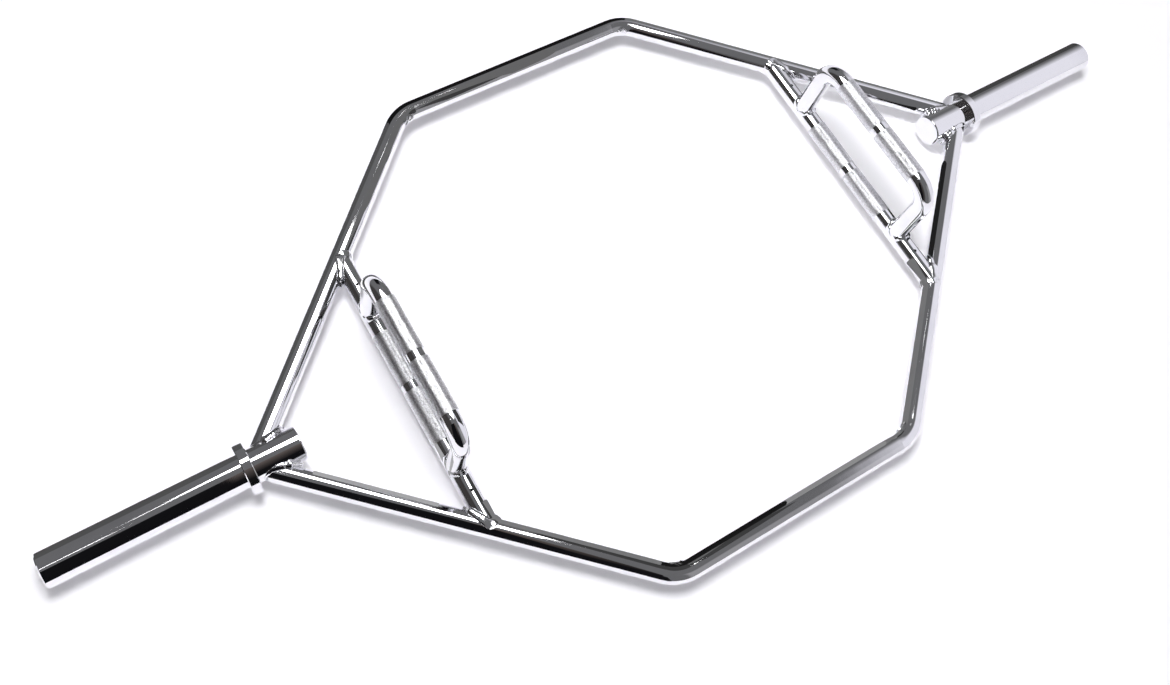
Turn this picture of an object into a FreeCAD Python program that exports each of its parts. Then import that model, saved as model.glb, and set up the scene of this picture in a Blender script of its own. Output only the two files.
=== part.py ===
"""Hex trap bar: a welded hexagon of steel tube with a plate sleeve at each end and two heights of grip.

Millimetres, +Z up.  The origin is on the floor under the middle of the bar.  X runs along the sleeves
(right is +X), Y across the bar (rear is +Y).  The bar lies on its two collars.
"""
import FreeCAD, Part
import math
import os

Vector = FreeCAD.Vector

# Sleeves and hubs: one tube on each side, turned down outside the collar
OVERALL_LENGTH = 1860.0       # sleeve end to sleeve end
SLEEVE_DIA = 50.0             # turned stretch that carries the plates
SLEEVE_LENGTH = 273.0         # collar to sleeve end
SLEEVE_BORE = 38.0
SLEEVE_END_CHAMFER = 1.5
HUB_DIA = 50.8                # stock size of the tube, left inside the collar
HUB_LENGTH = 71.0             # collar to the hub's closed inner end
HUB_CAP_THICKNESS = 5.0
HUB_CAP_ROUND = 2.0
END_PLUG_THICKNESS = 6.0
END_PLUG_RECESS = 2.0
END_PLUG_FIT = 0.1            # radial clearance of the plug in the bore
COLLAR_DIA = 74.0
COLLAR_WIDTH = 14.0
COLLAR_CHAMFER = 1.0
COLLAR_FIT = 0.1              # radial clearance of the collar on the hub

# Hexagon of two bent tubes
FRAME_TUBE_DIA = 30.0
FRAME_TUBE_WALL = 4.0
FRAME_WIDTH = 811.0           # between the axes of the two long sides
FRAME_SIDE = 417.0            # long side, corner to corner along the axes
FRAME_BEND_RADIUS = 60.0      # on the tube axis
CREASE_DEPTH = 3.0            # how far the notched inside of a bend closes in to a sharp corner
HEEL_GAP = 6.4                # collar to the outer side of a slanted tube, along the hub's surface

# Grips: a straight bar across the frame and a raised bail on top of it
HANDLE_SETBACK = 240.8        # frame's end point on the sleeve axis to the handle bar, along X
HANDLE_TUBE_DIA = 30.0
HANDLE_TUBE_WALL = 4.0
RAISED_HEIGHT = 124.0         # axis of the raised grip above the axis of the handle bar
RAISED_BEND_RADIUS = 34.0
LEG_SETBACK = 97.0            # frame axis to leg axis, along the handle bar
GRIP_SETBACK = 38.5           # leg axis to the end of the knurl
GRIP_RING = 12.0              # smooth ring in the middle of each grip
KNURL_RISE = 0.2              # rolled knurl stands proud of the tube
VENT_DIA = 4.5
VENT_SETBACK = 55.0           # frame axis to vent hole, along the handle bar

# Welds
ROOT_GAP = 0.3                # between a coped tube end and the tube it lands on
HUB_WELD_LEG = 5.0
HANDLE_WELD_LEG = 4.0
RAISED_WELD_LEG = 3.5
WELD_CROWN = 1.2              # how far a bead stands above the tubes where they run level
BEAD_FIT = 0.05               # radial clearance of a bead round the tube end that it joins
CORNER_BEAD_DIA = 10.0
CORNER_BEAD_LENGTH = 12.0     # up the crease, without the rounded ends
CORNER_BEAD_RISE = 1.5        # over the bottom of the crease

# Places that follow from the sizes
AXIS_Z = COLLAR_DIA / 2
SLEEVE_END_X = OVERALL_LENGTH / 2
COLLAR_OUTER_X = SLEEVE_END_X - SLEEVE_LENGTH
COLLAR_INNER_X = COLLAR_OUTER_X - COLLAR_WIDTH
HUB_END_X = COLLAR_INNER_X - HUB_LENGTH
HUB_TUBE_X = HUB_END_X + HUB_CAP_THICKNESS
CORNER_X = FRAME_SIDE / 2
CORNER_Y = FRAME_WIDTH / 2
# A slanted tube's axis runs from its corner past the heel, half a tube away from it, to the sleeve axis
HEEL_ALONG = COLLAR_INNER_X - HEEL_GAP - CORNER_X
HEEL_ACROSS = CORNER_Y - HUB_DIA / 2
HEEL_ANGLE = math.atan2(HEEL_ACROSS, HEEL_ALONG)
SLANT = HEEL_ANGLE + math.asin(FRAME_TUBE_DIA / 2 / math.hypot(HEEL_ALONG, HEEL_ACROSS))
APEX_X = CORNER_X + CORNER_Y / math.tan(SLANT)
HANDLE_X = APEX_X - HANDLE_SETBACK
HANDLE_END_Y = HANDLE_SETBACK * math.tan(SLANT)
LEG_Y = HANDLE_END_Y - LEG_SETBACK
GRIP_END_Y = LEG_Y - GRIP_SETBACK
VENT_Y = HANDLE_END_Y - VENT_SETBACK
RAISED_Z = AXIS_Z + RAISED_HEIGHT

X_DIR = Vector(1, 0, 0)
Y_DIR = Vector(0, 1, 0)
Z_DIR = Vector(0, 0, 1)


def at(x, y, z=AXIS_Z):
    """Point of the part, at the height of the sleeve axis unless told otherwise."""
    return Vector(x, y, z)


def rod(start, end, dia):
    """Solid round bar between two points."""
    return Part.makeCylinder(dia / 2, (end - start).Length, start, end - start)


def turned(outline, axis_point, axis_dir, radial_dir):
    """Solid turned about an axis from an outline of (distance along it, radius) corners."""
    corners = [axis_point + axis_dir * along + radial_dir * radius for along, radius in outline]
    face = Part.Face(Part.makePolygon(corners + corners[:1]))
    return face.revolve(axis_point, axis_dir, 360)


class Bend:
    """Place of a tangent arc at a corner between two straight runs."""

    def __init__(self, before, corner, after, radius):
        self.back = (before - corner).normalize()
        self.ahead = (after - corner).normalize()
        self.inward = (self.back + self.ahead).normalize()
        half_angle = self.back.getAngle(self.ahead) / 2
        self.reach = radius / math.tan(half_angle)
        self.start = corner + self.back * self.reach
        self.middle = corner + self.inward * (radius / math.sin(half_angle) - radius)
        self.end = corner + self.ahead * self.reach


def bends_of(corners, radius):
    """Bends at the inner corners of a line."""
    return [Bend(*three, radius) for three in zip(corners, corners[1:], corners[2:])]


def bent_path(corners, bend_radius):
    """Wire of straight runs joined by tangent arcs at the inner corners."""
    edges = []
    start = corners[0]
    for bend in bends_of(corners, bend_radius):
        edges.append(Part.makeLine(start, bend.start))
        edges.append(Part.Arc(bend.start, bend.middle, bend.end).toShape())
        start = bend.end
    edges.append(Part.makeLine(start, corners[-1]))
    return Part.Wire(edges)


def bent_rod(corners, bend_radius, dia):
    """Solid round bar bent along a line of corners."""
    path = bent_path(corners, bend_radius)
    section = Part.Wire(Part.makeCircle(dia / 2, corners[0], corners[1] - corners[0]))
    return path.makePipeShell([section], True, False)


def bead_between(main, branch, leg, limit):
    """Weld metal within one leg of two bars, outside both of them and inside the limit.

    main and branch are functions that make a bar grown by a given amount.
    """
    metal = main(leg).common(limit).common(branch(leg).common(limit))
    return metal.cut(main(0)).cut(branch(BEAD_FIT))


def half_turn(shape):
    """The same piece on the other end of the bar."""
    twin = shape.copy()
    twin.rotate(Vector(0, 0, 0), Z_DIR, 180)
    return twin


def sleeve_tube():
    """Right sleeve and hub, one tube with a small step at the collar's outer face."""
    outline = [
        (HUB_TUBE_X, SLEEVE_BORE / 2),
        (HUB_TUBE_X, HUB_DIA / 2),
        (COLLAR_OUTER_X, HUB_DIA / 2),
        (COLLAR_OUTER_X, SLEEVE_DIA / 2),
        (SLEEVE_END_X - SLEEVE_END_CHAMFER, SLEEVE_DIA / 2),
        (SLEEVE_END_X, SLEEVE_DIA / 2 - SLEEVE_END_CHAMFER),
        (SLEEVE_END_X, SLEEVE_BORE / 2),
    ]
    return turned(outline, at(0, 0), X_DIR, Y_DIR)


def collar():
    """Plain stop ring round the right hub, edges broken all round."""
    bore = HUB_DIA / 2 + COLLAR_FIT
    rim = COLLAR_DIA / 2
    outline = [
        (COLLAR_INNER_X, bore),
        (COLLAR_INNER_X, rim - COLLAR_CHAMFER),
        (COLLAR_INNER_X + COLLAR_CHAMFER, rim),
        (COLLAR_OUTER_X - COLLAR_CHAMFER, rim),
        (COLLAR_OUTER_X, rim - COLLAR_CHAMFER),
        (COLLAR_OUTER_X, bore),
    ]
    return turned(outline, at(0, 0), X_DIR, Y_DIR)


def hub_cap():
    """Disc that closes the right hub's inner end, its outer edge ground round."""
    disc = rod(at(HUB_END_X, 0), at(HUB_TUBE_X, 0), HUB_DIA)
    rim = min(disc.Edges, key=lambda edge: edge.CenterOfMass.x)
    return disc.makeFillet(HUB_CAP_ROUND, [rim])


def sleeve_end_plug():
    """Disc set a little way into the open end of the right sleeve."""
    outer_x = SLEEVE_END_X - END_PLUG_RECESS
    return rod(at(outer_x - END_PLUG_THICKNESS, 0), at(outer_x, 0), SLEEVE_BORE - 2 * END_PLUG_FIT)


def hub_solid(extra):
    """Right hub as a solid bar, grown by extra all round."""
    return rod(at(HUB_END_X, 0), at(SLEEVE_END_X, 0), HUB_DIA + 2 * extra)


def slanted_rod(side, extra):
    """Straight slanted run of a frame tube at the right end, grown by extra; side is +1 rear, -1 front."""
    return rod(at(APEX_X, 0), at(CORNER_X, side * CORNER_Y), FRAME_TUBE_DIA + 2 * extra)


def handle_rod(extra):
    """Right handle bar as a plain solid bar from frame axis to frame axis, grown by extra."""
    start = at(HANDLE_X, -HANDLE_END_Y)
    end = at(HANDLE_X, HANDLE_END_Y)
    return rod(start, end, HANDLE_TUBE_DIA + 2 * extra)


def leg_rod(side, extra):
    """One upright leg of the right raised handle as a solid bar, grown by extra."""
    foot = at(HANDLE_X, side * LEG_Y)
    top = at(HANDLE_X, side * LEG_Y, RAISED_Z - RAISED_BEND_RADIUS)
    return rod(foot, top, HANDLE_TUBE_DIA + 2 * extra)


def grip_bands(x, z):
    """Two knurled stretches with a smooth ring between them, along Y at x and z."""
    dia = HANDLE_TUBE_DIA + 2 * KNURL_RISE
    bands = []
    for side in (1, -1):
        inner = at(x, side * GRIP_RING / 2, z)
        outer = at(x, side * GRIP_END_Y, z)
        bands.append(rod(inner, outer, dia))
    return bands


def frame_corners(side):
    """Corner points of one half of the hexagon, right hub to left hub."""
    y = side * CORNER_Y
    return [at(APEX_X, 0), at(CORNER_X, y), at(-CORNER_X, y), at(-APEX_X, 0)]


def crease_point(bend):
    """Bottom of the crease on the inside of a frame bend, at the height of the tube's axis."""
    return bend.middle + bend.inward * (FRAME_TUBE_DIA / 2 - CREASE_DEPTH)


def crease(bend):
    """Upright wedge that sharpens the inside of a frame bend, its two faces parallel to the straight runs."""
    bottom = crease_point(bend) - Z_DIR * FRAME_TUBE_DIA / 2
    plan = [bottom, bottom + bend.back * bend.reach, bottom + bend.ahead * bend.reach]
    return Part.Face(Part.makePolygon(plan + plan[:1])).extrude(Z_DIR * FRAME_TUBE_DIA)


def frame_rod(side):
    """Bent bar of one half of the hexagon as a solid, with the creases in its bends."""
    corners = frame_corners(side)
    creases = [crease(bend) for bend in bends_of(corners, FRAME_BEND_RADIUS)]
    return bent_rod(corners, FRAME_BEND_RADIUS, FRAME_TUBE_DIA).cut(creases)


def frame_tube(side):
    """Bent tube of one half of the hexagon, its ends coped to the two hubs."""
    bore = bent_rod(frame_corners(side), FRAME_BEND_RADIUS, FRAME_TUBE_DIA - 2 * FRAME_TUBE_WALL)
    right_hub = hub_solid(ROOT_GAP)
    return frame_rod(side).cut(bore).cut(right_hub).cut(half_turn(right_hub))


def handle_bar():
    """Right handle bar: knurled tube coped between the slanted tubes, with a vent hole near each end."""
    bar = handle_rod(0).fuse(grip_bands(HANDLE_X, AXIS_Z)).removeSplitter()
    bar = bar.cut(handle_rod(-HANDLE_TUBE_WALL))
    for side in (1, -1):
        bar = bar.cut(slanted_rod(side, ROOT_GAP))
        vent_foot = at(HANDLE_X, side * VENT_Y)
        bar = bar.cut(rod(vent_foot, vent_foot + Z_DIR * HANDLE_TUBE_DIA, VENT_DIA))
    return bar


def raised_handle():
    """Right raised handle: knurled bail whose two legs are coped to the top of the handle bar."""
    corners = [
        at(HANDLE_X, LEG_Y),
        at(HANDLE_X, LEG_Y, RAISED_Z),
        at(HANDLE_X, -LEG_Y, RAISED_Z),
        at(HANDLE_X, -LEG_Y),
    ]
    bail = bent_rod(corners, RAISED_BEND_RADIUS, HANDLE_TUBE_DIA)
    bail = bail.fuse(grip_bands(HANDLE_X, RAISED_Z)).removeSplitter()
    bore = bent_rod(corners, RAISED_BEND_RADIUS, HANDLE_TUBE_DIA - 2 * HANDLE_TUBE_WALL)
    return bail.cut(bore).cut(handle_rod(ROOT_GAP))


def hub_weld(side):
    """Fillet bead between the right hub and one slanted tube, stopped at the collar's face."""
    reach = HUB_DIA / 2 + HUB_WELD_LEG
    low = at(HUB_TUBE_X, -reach, AXIS_Z - reach)
    limit = Part.makeBox(COLLAR_INNER_X - HUB_TUBE_X, 2 * reach, 2 * reach, low)
    return bead_between(hub_solid, lambda extra: slanted_rod(side, extra), HUB_WELD_LEG, limit)


def handle_weld(side):
    """Fillet bead between one slanted tube and the end of the right handle bar, inside the hexagon."""
    height = min(FRAME_TUBE_DIA, HANDLE_TUBE_DIA) + 2 * WELD_CROWN
    floor = AXIS_Z - height / 2
    inside = [at(0, 0, floor), at(APEX_X, 0, floor), at(CORNER_X, side * CORNER_Y, floor)]
    limit = Part.Face(Part.makePolygon(inside + inside[:1])).extrude(Z_DIR * height)
    return bead_between(lambda extra: slanted_rod(side, extra), handle_rod, HANDLE_WELD_LEG, limit)


def raised_weld(side):
    """Fillet bead round the foot of one leg of the right raised handle."""
    width = HANDLE_TUBE_DIA + 2 * WELD_CROWN
    length = 2 * HANDLE_TUBE_DIA
    low = at(HANDLE_X - width / 2, side * LEG_Y - length / 2)
    limit = Part.makeBox(width, length, HANDLE_TUBE_DIA, low)
    return bead_between(handle_rod, lambda extra: leg_rod(side, extra), RAISED_WELD_LEG, limit)


def corner_weld(side):
    """Bead up the crease in the right bend of one frame tube, round at both ends."""
    bend = bends_of(frame_corners(side), FRAME_BEND_RADIUS)[0]
    centre = crease_point(bend) + bend.inward * (CORNER_BEAD_RISE - CORNER_BEAD_DIA / 2)
    low = centre - Z_DIR * CORNER_BEAD_LENGTH / 2
    high = centre + Z_DIR * CORNER_BEAD_LENGTH / 2
    ends = [Part.makeSphere(CORNER_BEAD_DIA / 2, point) for point in (low, high)]
    bead = rod(low, high, CORNER_BEAD_DIA).fuse(ends).removeSplitter()
    return bead.cut(frame_rod(side))


def one_solid(name, shape):
    """The single closed solid of a piece."""
    if len(shape.Solids) != 1 or not shape.isValid():
        raise ValueError(f"{name} is not one valid solid")
    return shape.Solids[0]


def pieces():
    """Every piece of the bar under its name."""
    made = {"rear_frame_tube": frame_tube(1), "front_frame_tube": frame_tube(-1)}
    single = {
        "sleeve_tube": sleeve_tube(),
        "collar": collar(),
        "hub_cap": hub_cap(),
        "sleeve_end_plug": sleeve_end_plug(),
        "handle_bar": handle_bar(),
        "raised_handle": raised_handle(),
    }
    for name, shape in single.items():
        made["right_" + name] = shape
        made["left_" + name] = half_turn(shape)
    beads = {
        "hub_weld": hub_weld,
        "handle_weld": handle_weld,
        "raised_weld": raised_weld,
        "corner_weld": corner_weld,
    }
    for name, make in beads.items():
        for side, place, opposite in ((1, "rear", "front"), (-1, "front", "rear")):
            bead = make(side)
            made[f"right_{place}_{name}"] = bead
            made[f"left_{opposite}_{name}"] = half_turn(bead)
    return made


os.makedirs("parts", exist_ok=True)
for node, shape in sorted(pieces().items()):
    solid = one_solid(node, shape)
    solid.exportStep(f"parts/{node}.step")
    print(f"{node:28s} {solid.Volume / 1000:9.2f} cm3")
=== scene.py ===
"""Looks of a chromed hex trap bar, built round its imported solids.

The tubes, sleeves, collars and caps keep their solids and get plated finishes. The knurl of the grips and the
weld beads are modelled here, because their facets and ripples are what the eye reads on a bar of plain tube.
"""
import math
from itertools import product

import bpy
import numpy as np
from bpy.props import FloatProperty, FloatVectorProperty, IntProperty, PointerProperty
from bpy.types import Operator, Panel, PropertyGroup
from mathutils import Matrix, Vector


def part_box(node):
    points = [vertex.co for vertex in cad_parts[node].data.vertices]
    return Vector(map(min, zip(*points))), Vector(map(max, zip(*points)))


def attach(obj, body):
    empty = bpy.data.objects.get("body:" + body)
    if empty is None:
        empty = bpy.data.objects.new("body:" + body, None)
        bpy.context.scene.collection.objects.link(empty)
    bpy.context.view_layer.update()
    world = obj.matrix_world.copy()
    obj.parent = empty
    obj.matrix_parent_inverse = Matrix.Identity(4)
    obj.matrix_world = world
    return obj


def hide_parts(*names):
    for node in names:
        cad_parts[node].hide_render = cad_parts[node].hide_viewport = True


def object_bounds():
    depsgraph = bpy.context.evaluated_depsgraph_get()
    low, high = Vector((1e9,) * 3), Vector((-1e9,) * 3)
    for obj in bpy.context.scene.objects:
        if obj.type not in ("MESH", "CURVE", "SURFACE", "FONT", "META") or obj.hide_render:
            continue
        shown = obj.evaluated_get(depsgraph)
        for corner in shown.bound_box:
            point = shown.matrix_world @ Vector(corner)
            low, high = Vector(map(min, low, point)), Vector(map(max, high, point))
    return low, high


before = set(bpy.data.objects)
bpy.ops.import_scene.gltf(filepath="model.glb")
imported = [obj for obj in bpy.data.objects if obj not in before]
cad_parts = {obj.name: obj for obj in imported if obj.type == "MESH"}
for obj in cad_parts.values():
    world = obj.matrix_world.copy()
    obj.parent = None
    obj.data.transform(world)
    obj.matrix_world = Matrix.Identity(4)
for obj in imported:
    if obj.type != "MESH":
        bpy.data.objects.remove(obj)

bl_info = {
    "name": "Hex Trap Bar Looks",
    "version": (1, 0, 0),
    "blender": (4, 5, 0),
    "location": "View3D > Sidebar > Hex Bar",
    "description": "Chrome finishes, knurled grips, weld beads and studio for a hex trap bar",
    "category": "Object",
}

CAD_BOX = [list(corner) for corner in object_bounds()]
SIDES = (("left", -1.0), ("right", 1.0))
PLACES = (("front", -1.0), ("rear", 1.0))
QUARTERS = tuple(product(SIDES, PLACES))
UP = np.array((0.0, 0.0, 1.0))


# Places read from the solids, in metres

# Degrees between which the normal of a slanted side is looked for, and the count of tries
NORMAL_RANGE = (5.0, 85.0)
NORMAL_TRIES = 16001


def points_of(node):
    """All corners of a node's mesh as an (n, 3) array."""
    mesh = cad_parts[node].data
    flat = np.empty(len(mesh.vertices) * 3)
    mesh.vertices.foreach_get("co", flat)
    return flat.reshape(-1, 3)


def middle(node):
    """Centre of a node's box."""
    low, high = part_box(node)
    return (low + high) / 2


def reach(node):
    """Half of each side of a node's box."""
    low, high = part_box(node)
    return (high - low) / 2


def outer_line(node):
    """Slanted side of the hexagon as (angle of its outward normal, reach of its outer edge from the origin).

    The normal is turned from the sleeve's direction to the rear in small steps. Where the furthest corner of
    the tube jumps from one end of the slanted run to the other, the normal is square to that run.
    """
    turn = np.radians(np.linspace(*NORMAL_RANGE, NORMAL_TRIES))
    plan = points_of(node)[:, :2]
    along = plan @ np.array((np.cos(turn), np.sin(turn)))
    furthest = plan[along.argmax(axis=0)]
    jump = np.abs(np.diff(furthest[:, 0])).argmax()
    return turn[jump], along[:, jump].max()


def grip_band(node, axis_x, axis_z, band_r):
    """Radius of a handle bar's plain tube, and where its bands begin and end on either side of the middle."""
    points = points_of(node)
    radius = np.hypot(points[:, 0] - axis_x, points[:, 2] - axis_z)
    plain_r = radius[np.abs(points[:, 1]) > points[:, 1].max() / 2].max()
    band = np.abs(points[radius > (band_r + plain_r) / 2, 1])
    return plain_r, band.min(), band.max()


AXIS_Z = middle("right_collar").z
TUBE_R = reach("rear_frame_tube").z
HUB_R = reach("right_hub_cap").z
CORNER_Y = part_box("rear_frame_tube")[1].y - TUBE_R
NORMAL_TURN, OUTER_REACH = outer_line("rear_frame_tube")
APEX_X = (OUTER_REACH - TUBE_R) / math.cos(NORMAL_TURN)
CORNER_X = APEX_X - CORNER_Y * math.tan(NORMAL_TURN)
HANDLE_X = middle("right_handle_bar").x
BAND_R = reach("right_handle_bar").z
HANDLE_R, RING_HALF, GRIP_END = grip_band("right_handle_bar", HANDLE_X, AXIS_Z, BAND_R)
LEG_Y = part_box("right_raised_handle")[1].y - HANDLE_R
RAISED_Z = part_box("right_raised_handle")[1].z - BAND_R


# Settings that a user would change

COLOUR = {"subtype": "COLOR", "size": 3, "min": 0, "max": 1}
PLACE = {"subtype": "TRANSLATION", "unit": "LENGTH", "size": 3}


class ChromeSettings(PropertyGroup):
    """Finish of the plated surfaces."""
    plate_colour: FloatVectorProperty(
        name="Plate", description="Colour of the polished plate", default=(0.87, 0.87, 0.89), **COLOUR)
    haze_colour: FloatVectorProperty(
        name="Haze", description="Colour where handling has dulled the plate", default=(0.80, 0.80, 0.83),
        **COLOUR)
    gloss: FloatProperty(
        name="Gloss roughness", description="Roughness of the clean plate", min=0, max=1, default=0.05)
    haze: FloatProperty(
        name="Haze roughness", description="Roughness of the dulled patches", min=0, max=1, default=0.10)
    knurl_roughness: FloatProperty(
        name="Knurl roughness", description="Roughness of the knurl's facets", min=0, max=1, default=0.28)
    # Painted shade of the knurl's grooves, with some dirt, speckled at random over the knurl by a noise
    groove_dirt_and_shade: FloatVectorProperty(
        name="Grooves", description="Colour in the shade between the diamonds", default=(0.56, 0.56, 0.58),
        **COLOUR)
    groove_grain: FloatProperty(
        name="Groove grain", description="Grains of groove colour in a metre of knurl", min=0, default=600.0)
    bead_roughness: FloatProperty(
        name="Bead roughness", description="Roughness of the plated beads", min=0, max=1, default=0.09)


class KnurlSettings(PropertyGroup):
    """Diamond knurl on the grips."""
    diamonds_round: IntProperty(
        name="Diamonds round the bar", description="Count of diamonds on one turn", min=12, max=200,
        default=54)
    helix: FloatProperty(
        name="Helix", description="Angle of the knurl's grooves to the bar", subtype="ANGLE", unit="ROTATION",
        min=0.2, max=1.4, default=math.radians(32))
    lift: FloatProperty(
        name="Groove lift", description="Height of the grooves over the plain band", unit="LENGTH", min=0,
        default=0.00002)
    depth: FloatProperty(
        name="Depth", description="Height of the diamonds over the grooves", unit="LENGTH", min=0,
        default=0.00016)
    unevenness: FloatProperty(
        name="Unevenness", description="Share of the depth by which the diamonds differ", min=0, max=1,
        default=0.5)
    fade: FloatProperty(
        name="Run-out", description="Length over which the knurl fades at its ends", unit="LENGTH", min=0,
        default=0.0015)


class BeadSettings(PropertyGroup):
    """Weld beads."""
    hub_leg: FloatProperty(
        name="Hub leg", description="Leg of the beads at the hubs", unit="LENGTH", min=0, default=0.0078)
    handle_leg: FloatProperty(
        name="Handle leg", description="Leg of the beads at the handle bars", unit="LENGTH", min=0,
        default=0.0056)
    raised_leg: FloatProperty(
        name="Raised leg", description="Leg of the beads at the raised handles", unit="LENGTH", min=0,
        default=0.0045)
    ripple_pitch: FloatProperty(
        name="Ripple pitch", description="Length of one ripple", unit="LENGTH", min=0.0005, default=0.0075)
    ripple_share: FloatProperty(
        name="Ripple share", description="Height of the ripples as a share of the leg", min=0, max=1,
        default=0.07)
    lump_share: FloatProperty(
        name="Lump share", description="Unevenness of the bead as a share of the leg", min=0, max=1,
        default=0.24)
    heel_share: FloatProperty(
        name="Heel share", description="Leg of a hub's bead at the collar as a share of the leg", min=0,
        max=1, default=0.06)
    bend_radius: FloatProperty(
        name="Bend radius", description="Radius of the frame's bends on the tube's axis", unit="LENGTH",
        min=0, default=0.060)
    crease_depth: FloatProperty(
        name="Crease depth", description="How far the inside of a bend is closed in", unit="LENGTH", min=0,
        default=0.003)
    crease_rise: FloatProperty(
        name="Crease rise", description="Height of the beads in the creases", unit="LENGTH", min=0,
        default=0.0020)
    crease_patch: FloatVectorProperty(
        name="Crease patch", description="Half length and half height of those beads", unit="LENGTH", size=2,
        default=(0.013, 0.0065))
    crease_lift: FloatProperty(
        name="Crease lift", description="Height of those beads over the tube's axis", unit="LENGTH",
        default=0.0070)


class StageSettings(PropertyGroup):
    """Camera, floor, lamps, cards and surroundings."""
    camera_place: FloatVectorProperty(
        name="Camera place", description="Where the camera stands", default=(-0.70048, -0.42487, 1.55873),
        **PLACE)
    camera_turn: FloatVectorProperty(
        name="Camera turn", description="How the camera is turned", subtype="EULER", unit="ROTATION", size=3,
        default=tuple(math.radians(a) for a in (24.48106, -7.44798, -30.16221)))
    lens: FloatProperty(
        name="Lens", description="Focal length on a 36 mm wide sensor", unit="CAMERA", default=34.755)
    shift: FloatVectorProperty(
        name="Shift", description="Shift of the lens as shares of the frame's width", size=2,
        default=(0.05566, -0.05657))
    floor_colour: FloatVectorProperty(
        name="Floor", description="Colour of the floor", default=(0.94, 0.93, 0.97), **COLOUR)
    floor_glow: FloatProperty(
        name="Floor glow", description="Light added to the floor for camera, mirror and glass rays", min=0,
        max=1, default=0.14)
    # Painted pool of light on the floor round the right handles, which lightens their shadows
    painted_pool_light: FloatProperty(
        name="Pool glow", description="Glow of the floor under the right handles", min=0, max=1, default=0.24)
    pool_edge: FloatVectorProperty(
        name="Pool edge", description="Distances over which the pool fades", unit="LENGTH", size=2,
        default=(0.13, 0.38))
    main_light: FloatProperty(
        name="Main light", description="Light of the main lamp on the floor, 1 making white paper white",
        min=0, max=2, default=0.80)
    main_place: FloatVectorProperty(
        name="Main place", description="Middle of the round main lamp", default=(-0.42, 0.42, 2.70), **PLACE)
    main_radius: FloatProperty(
        name="Main radius", description="Radius of the main lamp", unit="LENGTH", min=0, default=0.50)
    softbox_place: FloatVectorProperty(
        name="Softbox place", description="Middle of the softbox", default=(-0.157, 0.520, 1.60), **PLACE)
    softbox_turn: FloatProperty(
        name="Softbox turn", description="Turn of the softbox about the vertical", subtype="ANGLE",
        unit="ROTATION", default=math.radians(40))
    softbox_size: FloatVectorProperty(
        name="Softbox size", description="Length and width of the softbox", unit="LENGTH", size=2,
        default=(0.765, 1.16))
    softbox_light: FloatProperty(
        name="Softbox light", description="Brightness of the softbox, white being 1", min=0, default=6.0)
    room_colour: FloatVectorProperty(
        name="Room", description="Colour of the grey room", default=(0.145, 0.145, 0.150), **COLOUR)
    dark_colour: FloatVectorProperty(
        name="Dark parts", description="Colour of the dark screen and the dark gap in the room",
        default=(0.006, 0.006, 0.007), **COLOUR)
    front_colour: FloatVectorProperty(
        name="Front wall", description="Colour of the pale front of the room", default=(0.30, 0.30, 0.31),
        **COLOUR)
    left_colour: FloatVectorProperty(
        name="Left wall", description="Colour of the dim left of the room", default=(0.050, 0.046, 0.045),
        **COLOUR)
    right_colour: FloatVectorProperty(
        name="Right wall", description="Colour of the bright right of the room", default=(0.86, 0.85, 0.92),
        **COLOUR)
    screen_ends: FloatVectorProperty(
        name="Screen ends", description="Left and right end of the dark screen", unit="LENGTH", size=2,
        default=(-1.75, -0.43))
    screen_fold: FloatProperty(
        name="Screen fold", description="Where the fading part of the screen begins", unit="LENGTH",
        default=-0.655)
    screen_top_colour: FloatVectorProperty(
        name="Screen top colour", description="Colour that part fades to", default=(0.130, 0.108, 0.100),
        **COLOUR)
    screen_foot_y: FloatProperty(
        name="Screen foot", description="Place of the screen's lower edge across the bar", unit="LENGTH",
        default=-1.05)
    screen_top: FloatVectorProperty(
        name="Screen top", description="Place across the bar and height of its upper edge", unit="LENGTH",
        size=2, default=(-0.49, 1.80))
    flag_x: FloatProperty(
        name="Flag place", description="Place of the flags along the bar", unit="LENGTH", default=0.10)
    card_gap: FloatProperty(
        name="Card gap", description="Distance of the low cards from the chrome", unit="LENGTH", min=0,
        default=0.035)
    card_height: FloatProperty(
        name="Card height", description="Height of the low cards", unit="LENGTH", min=0, default=0.075)


# Meshes

def linked(name, data):
    """New object in the scene."""
    made = bpy.data.objects.new(name, data)
    bpy.context.scene.collection.objects.link(made)
    return made


def grid_quads(rows, columns, closed_rows):
    """Corner numbers of the quads of a grid whose columns always close on themselves.

    Quad (i, j) joins corners (i, j), (i + 1, j), (i + 1, j + 1) and (i, j + 1), with j taken round the
    columns and, for closed rows, i taken round the rows.
    """
    i, j = np.meshgrid(np.arange(rows if closed_rows else rows - 1), np.arange(columns), indexing="ij")
    i, j = i.ravel(), j.ravel()
    here, there = i * columns, (i + 1) % rows * columns
    next_j = (j + 1) % columns
    return np.stack((here + j, there + j, there + next_j, here + next_j), axis=1)


def enclosed(points, triangles):
    """Volume that triangles enclose: the sum of the tetrahedra from the origin to each of them."""
    a, b, c = points[triangles[:, 0]], points[triangles[:, 1]], points[triangles[:, 2]]
    return np.einsum("ij,ij->i", a, np.cross(b, c)).sum() / 6


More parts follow.
